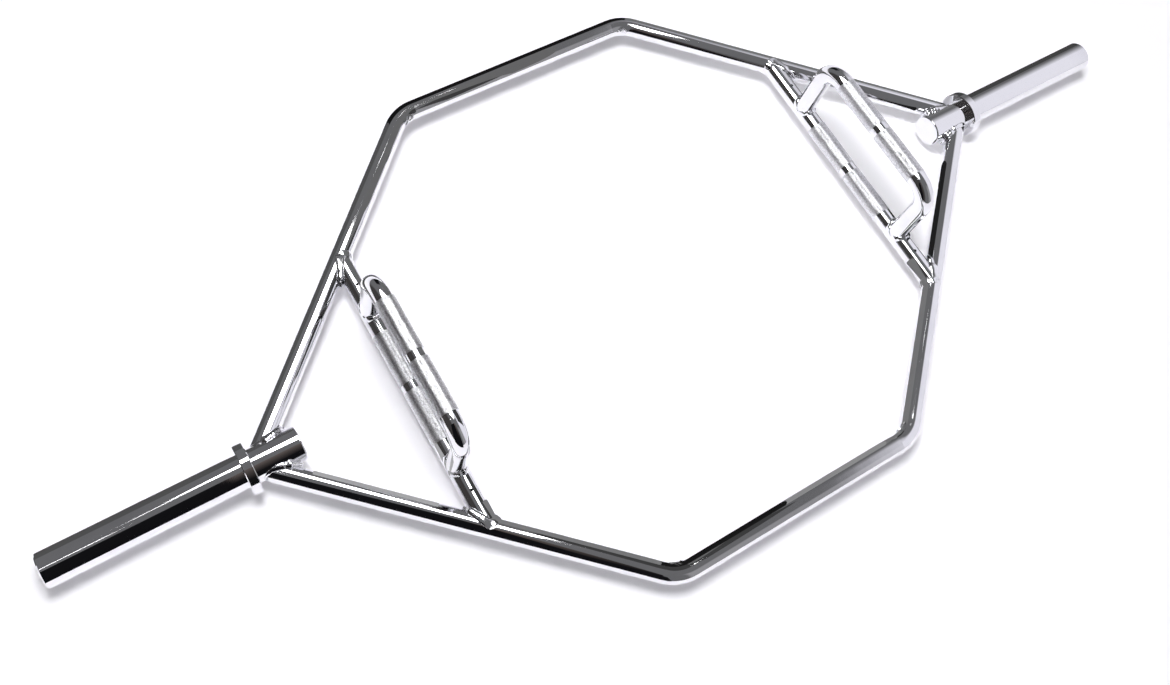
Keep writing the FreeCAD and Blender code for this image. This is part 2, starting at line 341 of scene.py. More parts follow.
def new_piece(name, points, faces, material, smooth, caps=()):
    """Closed mesh from corners, an array of equal faces and a list of end caps, riding on the bar.

    Its faces are turned outward by the sign of the volume that they enclose.
    """
    fan = np.stack([faces[:, (0, k, k + 1)] for k in range(1, faces.shape[1] - 1)], axis=1).reshape(-1, 3)
    rest = [(cap[0], cap[k], cap[k + 1]) for cap in caps for k in range(1, len(cap) - 1)]
    triangles = np.concatenate((fan, np.array(rest, int).reshape(-1, 3)))
    step = 1 if enclosed(points - points.mean(axis=0), triangles) > 0 else -1
    all_faces = faces[:, ::step].tolist() + [cap[::step] for cap in caps]
    mesh = bpy.data.meshes.new(name)
    mesh.from_pydata(points.tolist(), [], all_faces)
    mesh.polygons.foreach_set("use_smooth", np.full(len(all_faces), smooth))
    if mesh.validate():
        raise RuntimeError(f"{name} has faces that are not sound")
    mesh.materials.append(material)
    piece = linked(name, mesh)
    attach(piece, "root")
    return piece


def ring_bead(name, surface, material):
    """Bead from a (rows, columns, 3) array of a surface that closes on itself both ways."""
    quads = grid_quads(*surface.shape[:2], True)
    return new_piece(name, surface.reshape(-1, 3), quads, material, True)


def patch_bead(name, surface, material):
    """Bead from a (rows, columns, 3) array of a surface whose rows end in two flat caps."""
    rows, columns = surface.shape[:2]
    first = list(range(columns))
    last = [(rows - 1) * columns + k for k in reversed(first)]
    quads = grid_quads(rows, columns, False)
    return new_piece(name, surface.reshape(-1, 3), quads, material, True, [first, last])


# Shapes

KNURL_LEAST_ROWS = 4
# Waves of a bead's unevenness: counts round the ring, heights, and the turn by which a seed shifts them
LUMP_COUNTS = np.array((3, 5, 9, 14, 19))
LUMP_HEIGHTS = np.array((0.6, 0.6, 0.7, 0.6, 0.3))
LUMP_SHIFT = 1.7
# Beads round a tube's foot
RIPPLE_STEPS = 6  # rows in one ripple
SECTION_STEPS = 20  # corners round the section
CROWN_TURN = math.pi / 4  # the crown stands midway between the two skins
CROWN_GAIN = 1.4  # how fast the section swells towards the crown
CROWN_WIDTH = 0.25  # how far the swelling reaches past its sides
ROOT_SHARE = 0.3  # leg of the section inside the walls, as a share of the whole leg
RIPPLE_STRAY = 2.0  # how far ripples stray along the bead, as an angle of one ripple
RIPPLE_BOW = 1.3  # how far they bow, likewise
# Patches in the creases
PATCH_RINGS = 18  # rings of corners from the middle to the edge
PATCH_STEPS = 64  # corners of one ring
GRAIN_ALONG, GRAIN_UP = 90.0, 80.0  # lumps along the patch and up it, as angles in a metre
GRAIN_SWAY, GRAIN_SWAY_UP = 0.6, 300.0  # sway of the lumps along the patch, and its angle in a metre up
GRAIN_SHARE = 0.9  # height of the lumps as a share of the rise
EDGE_SINK = 0.25  # depth of the edge under the skin as a share of the rise


def knurl_band(centre, start, end, knurl, seed):
    """Diamond knurl round a bar along Y, as (corners, triangles).

    In turns u of the diamonds round the bar and v along it, grooves lie where u + v and u - v are whole
    numbers. On a grid of half steps the corners are then by turns groove crossings, where the two step counts
    add up to an even number, and diamond tips, where they add up to an odd one. Each quad is split from
    crossing to crossing, so every diamond is a pyramid of four flat facets. The diamonds differ in height by
    chance, their tips fade to the grooves at both ends, and a plain sleeve inside the bar closes the shell.
    """
    round_steps = 2 * knurl.diamonds_round
    step_y = math.pi * BAND_R / knurl.diamonds_round / math.tan(knurl.helix)
    rows = max(KNURL_LEAST_ROWS, 2 * round((end - start) / step_y / 2))
    i, j = np.meshgrid(np.arange(rows + 1), np.arange(round_steps), indexing="ij")
    y = start + (end - start) * i / rows
    chance = np.random.default_rng(seed).uniform(-1.0, 1.0, i.shape)
    tip = (i + j) % 2 * (1.0 + knurl.unevenness * chance)
    fade = np.clip(np.minimum(y - start, end - y) / knurl.fade, 0.0, 1.0)
    radius = BAND_R + knurl.lift + knurl.depth * tip * fade
    radius = np.concatenate((radius, np.full((2, round_steps), HANDLE_R - knurl.depth)))
    y = np.concatenate((y, np.full((1, round_steps), end), np.full((1, round_steps), start)))
    turn = 2 * math.pi * np.arange(round_steps) / round_steps
    surface = np.stack((centre[0] + radius * np.cos(turn), y, centre[2] + radius * np.sin(turn)), axis=-1)
    quads = grid_quads(rows + 3, round_steps, True)
    even = (np.add(*np.divmod(quads[:, 0], round_steps)) % 2 == 0)[:, None]
    first = np.where(even, quads[:, (0, 1, 2)], quads[:, (1, 2, 3)])
    second = np.where(even, quads[:, (0, 2, 3)], quads[:, (1, 3, 0)])
    return surface.reshape(-1, 3), np.concatenate((first, second))


def unit(vectors):
    """Vectors along the last axis, brought to length one."""
    return vectors / np.linalg.norm(vectors, axis=-1, keepdims=True)


def facing(vectors, others):
    """Rows of vectors, each turned round where it points away from the same row of the others."""
    return vectors * np.sign(np.einsum("ij,ij->i", vectors, others))[:, None]


def lumps(turn, seed):
    """Unevenness of a bead between about -1 and 1: waves in five lengths, shifted by the seed."""
    waves = np.sin(LUMP_COUNTS * turn[..., None] + LUMP_SHIFT * LUMP_COUNTS * seed)
    return (LUMP_HEIGHTS * waves).sum(axis=-1) / 2


def saddle_bead(origin, main, across, main_r, branch_r, lean, leg, heel_share, seed, bead):
    """Bead round the foot of a branch tube on a main tube, as a closed ring.

    The branch leaves the main axis at an angle, in the plane of main and across. A point of its surface is
    the turn round it and the way t along it, and it also lies on the main tube where t = (sqrt(R^2 - (r sin
    turn)^2) - r cos turn cos lean) / sin lean. From each such point the section runs one leg along the main
    tube's skin and one leg along the branch's skin, with a rounded crown between them, and dips into both
    walls. The leg shrinks to its heel share on the side that the branch leans away from. Ripples lie across
    the bead as crescents of uneven length, and lumps vary its leg.
    """
    up = np.cross(main, across)
    branch = math.cos(lean) * main + math.sin(lean) * across
    side = -math.sin(lean) * main + math.cos(lean) * across
    length = 2 * math.pi * (branch_r + leg / 2) / math.sin(lean)
    ripples = round(length / bead.ripple_pitch)
    rows = RIPPLE_STEPS * ripples
    turn = 2 * math.pi * np.arange(rows)[:, None] / rows
    skin = np.cos(turn) * side + np.sin(turn) * up
    depth = np.sqrt(np.maximum(main_r ** 2 - (branch_r * np.sin(turn)) ** 2, 0.0))
    way = (depth - branch_r * np.cos(turn) * math.cos(lean)) / math.sin(lean)
    path = way * branch + branch_r * skin
    main_skin = unit(path - (path @ main)[:, None] * main)
    tangent = unit(np.roll(path, -1, axis=0) - np.roll(path, 1, axis=0))
    on_main = facing(unit(np.cross(main_skin, tangent)), skin)
    on_branch = facing(unit(np.cross(skin, tangent)), main_skin)
    section = 2 * math.pi * np.arange(SECTION_STEPS)[None, :] / SECTION_STEPS
    from_crown = section - CROWN_TURN
    shown = np.clip(CROWN_GAIN * np.cos(from_crown) + CROWN_WIDTH, 0.0, 1.0)
    crescent = ripples * turn + RIPPLE_STRAY * lumps(turn, seed + 1) - RIPPLE_BOW * np.cos(2 * from_crown)
    swell = 1 + bead.lump_share * lumps(turn, seed) + bead.ripple_share * np.abs(np.sin(crescent / 2))
    from_heel = np.minimum(turn, 2 * math.pi - turn)
    swell = swell * (1 - (1 - heel_share) * np.cos(from_heel / 2) ** 2)
    root = ROOT_SHARE * heel_share
    radius = leg * (root + (swell - root) * shown)
    return (origin + path)[:, None] + radius[..., None] * (
        np.cos(section)[..., None] * on_main[:, None] + np.sin(section)[..., None] * on_branch[:, None])


def crease_bead(corner, inward, along, half_turn, bead, seed):
    """Uneven patch of weld over the crease on the inside of a bend, as a closed shell in two layers.

    A point of the patch is a share of its half length and half height. The tube's skin there is the nearer
    one of two surfaces: the bend's torus, (distance from the bend's axis - bend radius)^2 + height^2 = tube
    radius^2, and the two faces of the crease, which open from its bottom along the straight runs. The outer
    layer stands above the skin by the rise times lumps, the inner one lies under it, and both meet under the
    skin at the patch's edge.
    """
    share = np.sin(np.linspace(0.0, math.pi / 2, PATCH_RINGS))[:, None]
    turn = 2 * math.pi * np.arange(PATCH_STEPS)[None, :] / PATCH_STEPS
    long, high = bead.crease_patch
    side = long * share * np.cos(turn)
    height = bead.crease_lift + high * share * np.sin(turn)
    bend_y = bead.bend_radius / math.cos(half_turn)
    ring = bead.bend_radius - np.sqrt(TUBE_R ** 2 - height ** 2)
    torus = bend_y - np.sqrt(ring ** 2 - side ** 2)
    bottom = bend_y - bead.bend_radius + TUBE_R - bead.crease_depth
    skin = np.minimum(torus, bottom + np.abs(side) * math.tan(half_turn))
    sway = GRAIN_SWAY * np.sin(height * GRAIN_SWAY_UP + seed)
    grain = lumps(side * GRAIN_ALONG + sway, seed) + lumps(height * GRAIN_UP + seed, seed + 2)
    crown = 1 - share ** 2
    outer = skin + bead.crease_rise * (crown * (1 + GRAIN_SHARE * grain) - EDGE_SINK)
    inner = skin - bead.crease_rise * (EDGE_SINK + crown)
    depth = np.concatenate((outer, inner[-2::-1]))
    side, height = (np.concatenate((a, a[-2::-1])) for a in (side, height))
    return corner + depth[..., None] * inward + side[..., None] * along + height[..., None] * UP


# Finishes

# Sockets of the node that mixes colours
MIX_FACTOR, MIX_FIRST, MIX_SECOND, MIX_RESULT = 0, 6, 7, 2
EVEN = (1.0, 1.0, 1.0)  # noise stretched alike along all axes
# Scales of the plate's noises, the values between which they show, and the strength and depth of their bumps
HAZE_SCALE, HAZE_DETAIL, HAZE_ROUGHNESS, HAZE_EDGE = 9.0, 5.0, 0.6, (0.45, 0.72)
HAIRLINE_SCALE, HAIRLINE_DETAIL, HAIRLINE_STRENGTH, HAIRLINE_DEPTH = 240.0, 2.0, 0.03, 0.0002
WAVE_SCALE, WAVE_DETAIL, WAVE_DEPTH = 38.0, 1.0, 0.002
# Detail of the noise of painted groove shade and dirt, and the values between which it shows
GROOVE_DETAIL, GROOVE_EDGE = 1.0, (0.40, 0.60)
# Roughness that the dulled patches of the knurl and of the beads have over their clean ones
KNURL_DULLING, BEAD_DULLING = 0.05, 0.08


class NodeSheet:
    """Short way to write the nodes of a material, a light or the world."""

    def __init__(self, owner):
        owner.use_nodes = True
        self.tree = owner.node_tree
        self.tree.nodes.clear()

    def node(self, kind, **settings):
        """New node with the given settings."""
        made = self.tree.nodes.new(kind)
        for name, value in settings.items():
            setattr(made, name, value)
        return made

    def put(self, node, socket, value):
        """Sets an input, or links it where the value is another node's output."""
        entry = node.inputs[socket]
        if isinstance(value, bpy.types.NodeSocket):
            self.tree.links.new(value, entry)
        else:
            entry.default_value = value

    def surface(self, shader, owner="Material"):
        """Ends the nodes in a shader, for a material or another kind of owner."""
        self.put(self.node(f"ShaderNodeOutput{owner}"), "Surface", shader)

    def noise(self, scale, stretch, detail, roughness=0.5):
        """Noise on the object's own coordinates, stretched by a scale for each axis."""
        place = self.node("ShaderNodeTexCoord")
        mapping = self.node("ShaderNodeMapping")
        self.put(mapping, "Vector", place.outputs["Object"])
        self.put(mapping, "Scale", stretch)
        noise = self.node("ShaderNodeTexNoise")
        self.put(noise, "Vector", mapping.outputs["Vector"])
        self.put(noise, "Scale", scale)
        self.put(noise, "Detail", detail)
        self.put(noise, "Roughness", roughness)
        return noise.outputs["Fac"]

    def bump(self, height, strength, distance, normal=None):
        """Normal bent by a height, on top of another normal where one is given."""
        node = self.node("ShaderNodeBump")
        self.put(node, "Height", height)
        self.put(node, "Strength", strength)
        self.put(node, "Distance", distance)
        if normal is not None:
            self.put(node, "Normal", normal)
        return node.outputs["Normal"]

    def span(self, value, low, high, to_low=0.0, to_high=1.0):
        """Value moved from one range to another and kept inside it."""
        node = self.node("ShaderNodeMapRange")
        self.put(node, "Value", value)
        sockets = ("From Min", "From Max", "To Min", "To Max")
        for socket, number in zip(sockets, (low, high, to_low, to_high)):
            self.put(node, socket, number)
        return node.outputs["Result"]

    def combine(self, operation, first, second):
        """Result of an operation on two values."""
        node = self.node("ShaderNodeMath", operation=operation)
        self.put(node, 0, first)
        self.put(node, 1, second)
        return node.outputs["Value"]

    def mix(self, factor, first, second):
        """Colour between two others."""
        node = self.node("ShaderNodeMix", data_type="RGBA")
        self.put(node, MIX_FACTOR, factor)
        self.put(node, MIX_FIRST, first)
        self.put(node, MIX_SECOND, second)
        return node.outputs[MIX_RESULT]

    def wall(self, colour, shade, *edges):
        """Colour with a shade over it where each value has passed from the start to the end of its edge."""
        mask = None
        for value, start, end in edges:
            passed = self.span(value, start, end)
            mask = passed if mask is None else self.combine("MULTIPLY", mask, passed)
        return self.mix(mask, colour, opaque(shade))


def opaque(colour):
    """Colour with full alpha."""
    return (*colour, 1.0)


def plated(name, chrome, stretch, clean, dull, wave, grain=0.0):
    """Chrome plate: patches of faint haze over a mirror, hairline marks along the stretch and slight waves.

    Its roughness runs from clean to dull places. A grain speckles it with painted groove shade and dirt.
    """
    material = bpy.data.materials.new(name)
    sheet = NodeSheet(material)
    haze = sheet.span(sheet.noise(HAZE_SCALE, EVEN, HAZE_DETAIL, HAZE_ROUGHNESS), *HAZE_EDGE)
    hairline = sheet.noise(HAIRLINE_SCALE, stretch, HAIRLINE_DETAIL)
    waves = sheet.bump(sheet.noise(WAVE_SCALE, EVEN, WAVE_DETAIL), wave, WAVE_DEPTH)
    colour = sheet.mix(haze, opaque(chrome.plate_colour), opaque(chrome.haze_colour))
    # Speckles of painted groove shade and dirt
    if grain:
        groove = sheet.span(sheet.noise(grain, EVEN, GROOVE_DETAIL), *GROOVE_EDGE)
        colour = sheet.mix(groove, colour, opaque(chrome.groove_dirt_and_shade))
    shader = sheet.node("ShaderNodeBsdfPrincipled")
    sheet.put(shader, "Metallic", 1.0)
    sheet.put(shader, "Base Color", colour)
    sheet.put(shader, "Roughness", sheet.span(haze, 0.0, 1.0, clean, dull))
    sheet.put(shader, "Normal", sheet.bump(hairline, HAIRLINE_STRENGTH, HAIRLINE_DEPTH, waves))
    sheet.surface(shader.outputs["BSDF"])
    return material


def frame_plate(chrome):
    """Plate of the bent frame tubes."""
    return plated("frame_plate", chrome, (1.0, 1.0, 0.2), chrome.gloss, chrome.haze, wave=0.015)


def sleeve_plate(chrome):
    """Plate of the turned sleeves, with hairlines round them."""
    return plated("sleeve_plate", chrome, (6.0, 0.3, 0.3), chrome.gloss, chrome.haze, wave=0.01)


def handle_plate(chrome):
    """Plate of the handle tubes."""
    return plated("handle_plate", chrome, (0.6, 0.2, 0.6), chrome.gloss, chrome.haze, wave=0.015)


def knurl_plate(chrome):
    """Plate of the knurl, dulled by hands and speckled with painted groove shade and dirt."""
    clean = chrome.knurl_roughness
    return plated("knurl_plate", chrome, EVEN, clean, clean + KNURL_DULLING, wave=0.0,
                  grain=chrome.groove_grain)


def bead_plate(chrome):
    """Plate over the weld beads, one for all of them."""
    clean = chrome.bead_roughness
    return bpy.data.materials.get("bead_plate") or plated(
        "bead_plate", chrome, EVEN, clean, clean + BEAD_DULLING, wave=0.05)


def clad(material, *nodes):
    """Gives solids a finish."""
    for node in nodes:
        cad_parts[node].material_slots[0].material = material


# Stage

FLOOR_HALF = 30.0
SENSOR_WIDTH = 36.0  # millimetres
CEILING_Z = 2.6
CEILING_LAMP_WIDTH = 0.05
CEILING_LAMP_LIGHT = 5.0
# Small ceiling lamps as (x, y, length) in metres
CEILING_LAMPS = ((-1.20, 0.0, 0.30), (-0.87, 0.90, 0.26), (0.80, 1.25, 0.14))
CARD_LIFT = 0.002
FADE_START = 0.3  # share of a fading card's height that keeps its lower colour
# Brightness of the low cards from left to right, first behind the rear outline, then inside the front tubes
CARD_GREYS = {
    "left_sleeve_card": 0.09,
    "left_rear_card": 0.09,
    "rear_card": 0.008,
    "right_rear_card": 0.18,
    "right_sleeve_card": 0.06,
    "left_hub_card": 0.45,
    "left_bend_card": 0.22,
    "left_front_card": 0.01,
    "right_front_card": 0.30,
    "right_bend_card": 0.20,
    "right_hub_card": 0.015,
}
SLEEVE_CARD_GAPS = 4  # how far a sleeve's card reaches past the sleeve, in gaps of the cards
HUB_CARD_SHARE = 0.6  # how near a hub's card comes to the hub's axis, in radii of the hub
# Where the hub's and the bend's card stop behind (+) or before (-) a handle bar, in radii of that bar
LEFT_STOPS, RIGHT_STOPS = (1.3, -2.0), (0.5, -1.3)
# Flags as (name, front and rear end, foot and top, brightness)
FLAGS = (
    ("front_flag", (-0.27, 0.12), (0.24, 0.80), 0.05),
    ("rear_flag", (0.12, 0.60), (0.10, 1.05), 0.145),
)
# Edges of the room's walls as the (start, end) between which a direction's part brings a wall in
LEFT_WALL_X = (-0.38, -0.55)
FRONT_WALL_X, FRONT_WALL_Y = (0.10, 0.18), (-0.46, -0.60)
RIGHT_WALL_X, RIGHT_WALL_Y = (0.45, 0.53), (0.62, 0.20)
DARK_GAP_RIGHT, DARK_GAP_LEFT = (0.98, 1.06), (1.46, 1.38)  # angles round the vertical
DARK_GAP_TOP = (0.52, 0.44)


def flat_piece(name, corners, material):
    """Four-sided surface of the stage."""
    mesh = bpy.data.meshes.new(name)
    mesh.from_pydata(corners, [], [(0, 1, 2, 3)])
    mesh.materials.append(material)
    return linked(name, mesh)


def floor_paper(stage):
    """Pale matt paper with a little glow for camera, mirror and glass rays.

    A painted pool of light round the right handles makes the glow stronger there and lightens their shadows.
    """
    material = bpy.data.materials.new("floor_paper")
    sheet = NodeSheet(material)
    diffuse = sheet.node("ShaderNodeBsdfDiffuse")
    sheet.put(diffuse, "Color", opaque(stage.floor_colour))
    path = sheet.node("ShaderNodeLightPath")
    seen = path.outputs["Is Camera Ray"]
    for ray in ("Is Glossy Ray", "Is Transmission Ray"):
        seen = sheet.combine("MAXIMUM", seen, path.outputs[ray])
    # Painted pool of light: the glow grows toward the right handle bar
    here = sheet.node("ShaderNodeNewGeometry")
    away = sheet.node("ShaderNodeVectorMath", operation="DISTANCE")
    sheet.put(away, 0, here.outputs["Position"])
    sheet.put(away, 1, (HANDLE_X, 0.0, 0.0))
    level = sheet.span(away.outputs["Value"], *stage.pool_edge, stage.painted_pool_light, stage.floor_glow)
    glow = sheet.node("ShaderNodeEmission")
    sheet.put(glow, "Strength", sheet.combine("MULTIPLY", seen, level))
    both = sheet.node("ShaderNodeAddShader")
    sheet.put(both, 0, diffuse.outputs["BSDF"])
    sheet.put(both, 1, glow.outputs["Emission"])
    sheet.surface(both.outputs["Shader"])
    return material


def lay_floor(stage):
    """Wide flat floor that takes the bar's shadow."""
    corners = [(x * FLOOR_HALF, y * FLOOR_HALF, 0.0) for x, y in ((-1, -1), (1, -1), (1, 1), (-1, 1))]
    floor = flat_piece("floor", corners, floor_paper(stage))


def flat_lamp(name, place, turn, size, radiance):
    """Flat lamp that faces the floor and lights no matt surface.

    Its power is its brightness times pi times its area.
    """
    light = bpy.data.lights.new(name, "AREA")
    light.shape = "RECTANGLE"
    light.size, light.size_y = size
    light.energy = radiance * math.pi * size[0] * size[1]
    lamp = linked(name, light)
    lamp.location = place
    lamp.rotation_euler = (0.0, 0.0, turn)
    lamp.visible_camera = False
    lamp.visible_diffuse = False


def round_lamp(name, place, radius, share):
    """Round lamp for matt surfaces, whose light doesn't fall off with distance.

    A white floor under it shows its power over 4 pi^2, so the power is the share of that light times 4 pi^2.
    """
    light = bpy.data.lights.new(name, "POINT")
    light.energy = 4 * math.pi ** 2 * share
    light.shadow_soft_size = radius
    sheet = NodeSheet(light)
    falloff = sheet.node("ShaderNodeLightFalloff")
    sheet.put(falloff, "Strength", 1.0)
    glow = sheet.node("ShaderNodeEmission")
    sheet.put(glow, "Strength", falloff.outputs["Constant"])
    sheet.surface(glow.outputs["Emission"], "Light")
    lamp = linked(name, light)
    lamp.location = place
    lamp.visible_camera = False
    lamp.visible_glossy = False


def hang_lamps(stage):
    """Softbox to the rear and small ceiling lamps for the chrome, and a main lamp for the matt floor."""
    flat_lamp("softbox", stage.softbox_place, stage.softbox_turn, stage.softbox_size, stage.softbox_light)
    for number, (x, y, long) in enumerate(CEILING_LAMPS, 1):
        size = (long, CEILING_LAMP_WIDTH)
        flat_lamp(f"ceiling_lamp_{number}", (x, y, CEILING_Z), 0.0, size, CEILING_LAMP_LIGHT)
    round_lamp("main_lamp", stage.main_place, stage.main_radius, stage.main_light)


def leave_to_mirrors(piece):
    """Leaves a piece to mirror rays: it throws no shadow, lights no matt surface and isn't seen itself."""
    piece.visible_camera = False
    piece.visible_diffuse = False
    piece.visible_shadow = False


def card_paper(name, colour, top_colour, top):
    """Even glow in a colour or, where there is a top colour, one that fades to that colour upward."""
    material = bpy.data.materials.new(name)
    sheet = NodeSheet(material)
    shade = opaque(colour)
    if top_colour is not None:
        place = sheet.node("ShaderNodeNewGeometry")
        split = sheet.node("ShaderNodeSeparateXYZ")
        sheet.put(split, "Vector", place.outputs["Position"])
        share = sheet.span(split.outputs["Z"], FADE_START * top, top)
        shade = sheet.mix(share, shade, opaque(top_colour))
    glow = sheet.node("ShaderNodeEmission")
    sheet.put(glow, "Color", shade)
    sheet.surface(glow.outputs["Emission"])
    return material


def stand_card(name, low, high, colour, top_colour=None):
    """Card between the ends of its foot and of its top, so that the chrome mirrors some dark by the floor.

    Only mirror rays meet it.
    """
    top = high[0][2]
    card = flat_piece(name, [*low, *reversed(high)], card_paper(name, colour, top_colour, top))
    leave_to_mirrors(card)


def flag_paper(name, grey):
    """Dim glow on one side of a flag, the other side being clear."""
    material = bpy.data.materials.new(name)
    sheet = NodeSheet(material)
    glow = sheet.node("ShaderNodeEmission")
    sheet.put(glow, "Color", opaque(3 * (grey,)))
    clear = sheet.node("ShaderNodeBsdfTransparent")
    side = sheet.node("ShaderNodeNewGeometry")
    either = sheet.node("ShaderNodeMixShader")
    sheet.put(either, 0, side.outputs["Backfacing"])
    sheet.put(either, 1, glow.outputs["Emission"])
    sheet.put(either, 2, clear.outputs["BSDF"])
    sheet.surface(either.outputs["Shader"])
    return material


def stand_flags(stage):
    """Dim cards across the middle of the bar, which keep the room's bright right from the left end.

    Like the other cards they meet mirror rays alone, and they are clear from the right.
    """
    x = stage.flag_x
    for name, (front, rear), (low, high), grey in FLAGS:
        corners = [(x, front, low), (x, front, high), (x, rear, high), (x, rear, low)]
        flag = flat_piece(name, corners, flag_paper(name, grey))
        leave_to_mirrors(flag)


def inside_front(gap):
    """Plan of a line inside the front half of the hexagon, a gap from the tube's skin.

    Its points are the left joint, the left bend, the right bend and the right joint. A joint lies near the
    inner end of the hub, and a bend where the slanted and the straight line meet.
    """
    near = HUB_CARD_SHARE * HUB_R
    inset = TUBE_R + gap
    bend = CORNER_X - inset * math.tan((math.pi / 2 - NORMAL_TURN) / 2)
    joint = APEX_X - inset / math.cos(NORMAL_TURN) - near * math.tan(NORMAL_TURN)
    half = [(bend, inset - CORNER_Y), (joint, -near)]
    return [(-x, y) for x, y in reversed(half)] + half


def toward(start, end, y):
    """Point with a given y on the line from one plan point to another."""
    share = (y - start[1]) / (end[1] - start[1])
    return (start[0] + share * (end[0] - start[0]), y)


def stand_screen(stage):
    """Dark screen at the front left, which leans to the bar and fades upward in its right part."""
    left, right = stage.screen_ends
    top_y, top_z = stage.screen_top
    for name, ends, top_colour in (("left_screen", (left, stage.screen_fold), None),
                                   ("right_screen", (stage.screen_fold, right), stage.screen_top_colour)):
        low = [(x, stage.screen_foot_y, CARD_LIFT) for x in ends]
        high = [(x, top_y, top_z) for x in ends]
        stand_card(name, low, high, stage.dark_colour, top_colour)


def stand_low_cards(stage):
    """Low cards behind the rear outline and inside the front tubes."""
    gap = stage.card_gap
    sleeve_y = HUB_R + gap
    end = (CAD_BOX[1][0] + SLEEVE_CARD_GAPS * gap, sleeve_y)
    hub = (APEX_X + gap, sleeve_y)
    corner = (CORNER_X + gap, CORNER_Y + TUBE_R + gap / 2)
    left_end, left_hub, left_corner = ((-x, y) for x, y in (end, hub, corner))
    left_joint, left_bend, right_bend, right_joint = inside_front(gap)
    front = (0.0, right_bend[1])
    handle_y = (HANDLE_X - APEX_X) / math.tan(NORMAL_TURN) + (TUBE_R + gap) / math.sin(NORMAL_TURN)
    left_stops = [toward(left_joint, left_bend, handle_y + radii * HANDLE_R) for radii in LEFT_STOPS]
    right_stops = [toward(right_joint, right_bend, handle_y + radii * HANDLE_R) for radii in RIGHT_STOPS]
    plans = {
        "left_sleeve_card": (left_end, left_hub),
        "left_rear_card": (left_hub, left_corner),
        "rear_card": (left_corner, corner),
        "right_rear_card": (corner, hub),
        "right_sleeve_card": (hub, end),
        "left_hub_card": (left_joint, left_stops[0]),
        "left_bend_card": (left_stops[1], left_bend),
        "left_front_card": (left_bend, front),
        "right_front_card": (front, right_bend),
        "right_bend_card": (right_bend, right_stops[1]),
        "right_hub_card": (right_stops[0], right_joint),
    }
    for name, plan in plans.items():
        low = [(x, y, CARD_LIFT) for x, y in plan]
        high = [(x, y, stage.card_height) for x, y in plan]
        stand_card(name, low, high, 3 * (CARD_GREYS[name],))


def paint_surroundings(stage):
    """Studio by direction: a grey room, dim at the left, pale in front, bright at the right, dark behind."""
    world = bpy.data.worlds.new("studio")
    bpy.context.scene.world = world
    sheet = NodeSheet(world)
    place = sheet.node("ShaderNodeTexCoord")
    split = sheet.node("ShaderNodeSeparateXYZ")
    sheet.put(split, "Vector", place.outputs["Generated"])
    x, y, height = (split.outputs[axis] for axis in "XYZ")
    azimuth = sheet.combine("ARCTAN2", y, x)
    colour = opaque(stage.room_colour)
    colour = sheet.wall(colour, stage.left_colour, (x, *LEFT_WALL_X))
    colour = sheet.wall(colour, stage.front_colour, (y, *FRONT_WALL_Y), (x, *FRONT_WALL_X))
    colour = sheet.wall(colour, stage.right_colour, (x, *RIGHT_WALL_X), (y, *RIGHT_WALL_Y))
    colour = sheet.wall(colour, stage.dark_colour, (azimuth, *DARK_GAP_RIGHT), (azimuth, *DARK_GAP_LEFT),
                        (height, *DARK_GAP_TOP))
    background = sheet.node("ShaderNodeBackground")
    sheet.put(background, "Color", colour)
    sheet.surface(background.outputs["Background"], "World")


def stand_camera(stage):
    """Camera at the photograph's viewpoint."""
    data = bpy.data.cameras.new("camera")
    data.sensor_width = SENSOR_WIDTH
    data.lens = stage.lens
    data.shift_x, data.shift_y = stage.shift
    camera = linked("camera", data)
    camera.location = stage.camera_place
    camera.rotation_euler = stage.camera_turn
    bpy.context.scene.camera = camera


# Operators

class HEXBAR_OT_plate_tubes(Operator):
    """Plates the frame tubes, sleeves, collars, caps, plugs and handle tubes"""
    bl_idname = "hexbar.plate_tubes"
    bl_label = "Plate Tubes"

    def execute(self, context):
        chrome = context.scene.hex_bar_chrome
        clad(frame_plate(chrome), *(f"{place}_frame_tube" for place, _ in PLACES))
        turned = ("sleeve_tube", "collar", "hub_cap", "sleeve_end_plug")
        clad(sleeve_plate(chrome), *(f"{side}_{name}" for side, _ in SIDES for name in turned))
        handles = ("handle_bar", "raised_handle")
        clad(handle_plate(chrome), *(f"{side}_{name}" for side, _ in SIDES for name in handles))
        return {"FINISHED"}


class HEXBAR_OT_knurl_grips(Operator):
    """Cuts the diamond knurl on the low and the raised grips"""
    bl_idname = "hexbar.knurl_grips"
    bl_label = "Knurl Grips"

    def execute(self, context):
        knurl = context.scene.hex_bar_knurl
        material = knurl_plate(context.scene.hex_bar_chrome)
        grips = product(SIDES, (("low", AXIS_Z), ("raised", RAISED_Z)), PLACES)
        for seed, ((side, sign_x), (level, height), (place, sign_y)) in enumerate(grips, 1):
            start, end = sorted((sign_y * RING_HALF, sign_y * GRIP_END))
            centre = (sign_x * HANDLE_X, 0.0, height)
            points, faces = knurl_band(centre, start, end, knurl, seed)
            new_piece(f"{side}_{level}_{place}_knurl", points, faces, material, False)
        return {"FINISHED"}


class HEXBAR_OT_lay_hub_beads(Operator):
    """Lays the beads round the frame tubes on the hubs"""
    bl_idname = "hexbar.lay_hub_beads"
    bl_label = "Lay Hub Beads"

    def execute(self, context):
        bead = context.scene.hex_bar_bead
        material = bead_plate(context.scene.hex_bar_chrome)
        lean = math.pi / 2 - NORMAL_TURN
        for (side, sign_x), (place, sign_y) in QUARTERS:
            origin = np.array((sign_x * APEX_X, 0.0, AXIS_Z))
            main = np.array((-sign_x, 0.0, 0.0))
            across = np.array((0.0, sign_y, 0.0))
            surface = saddle_bead(origin, main, across, HUB_R, TUBE_R, lean, bead.hub_leg, bead.heel_share,
                                  2 * sign_x + sign_y, bead)
            piece = ring_bead(f"{side}_{place}_hub_bead", surface, material)
            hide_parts(f"{side}_{place}_hub_weld")
        return {"FINISHED"}


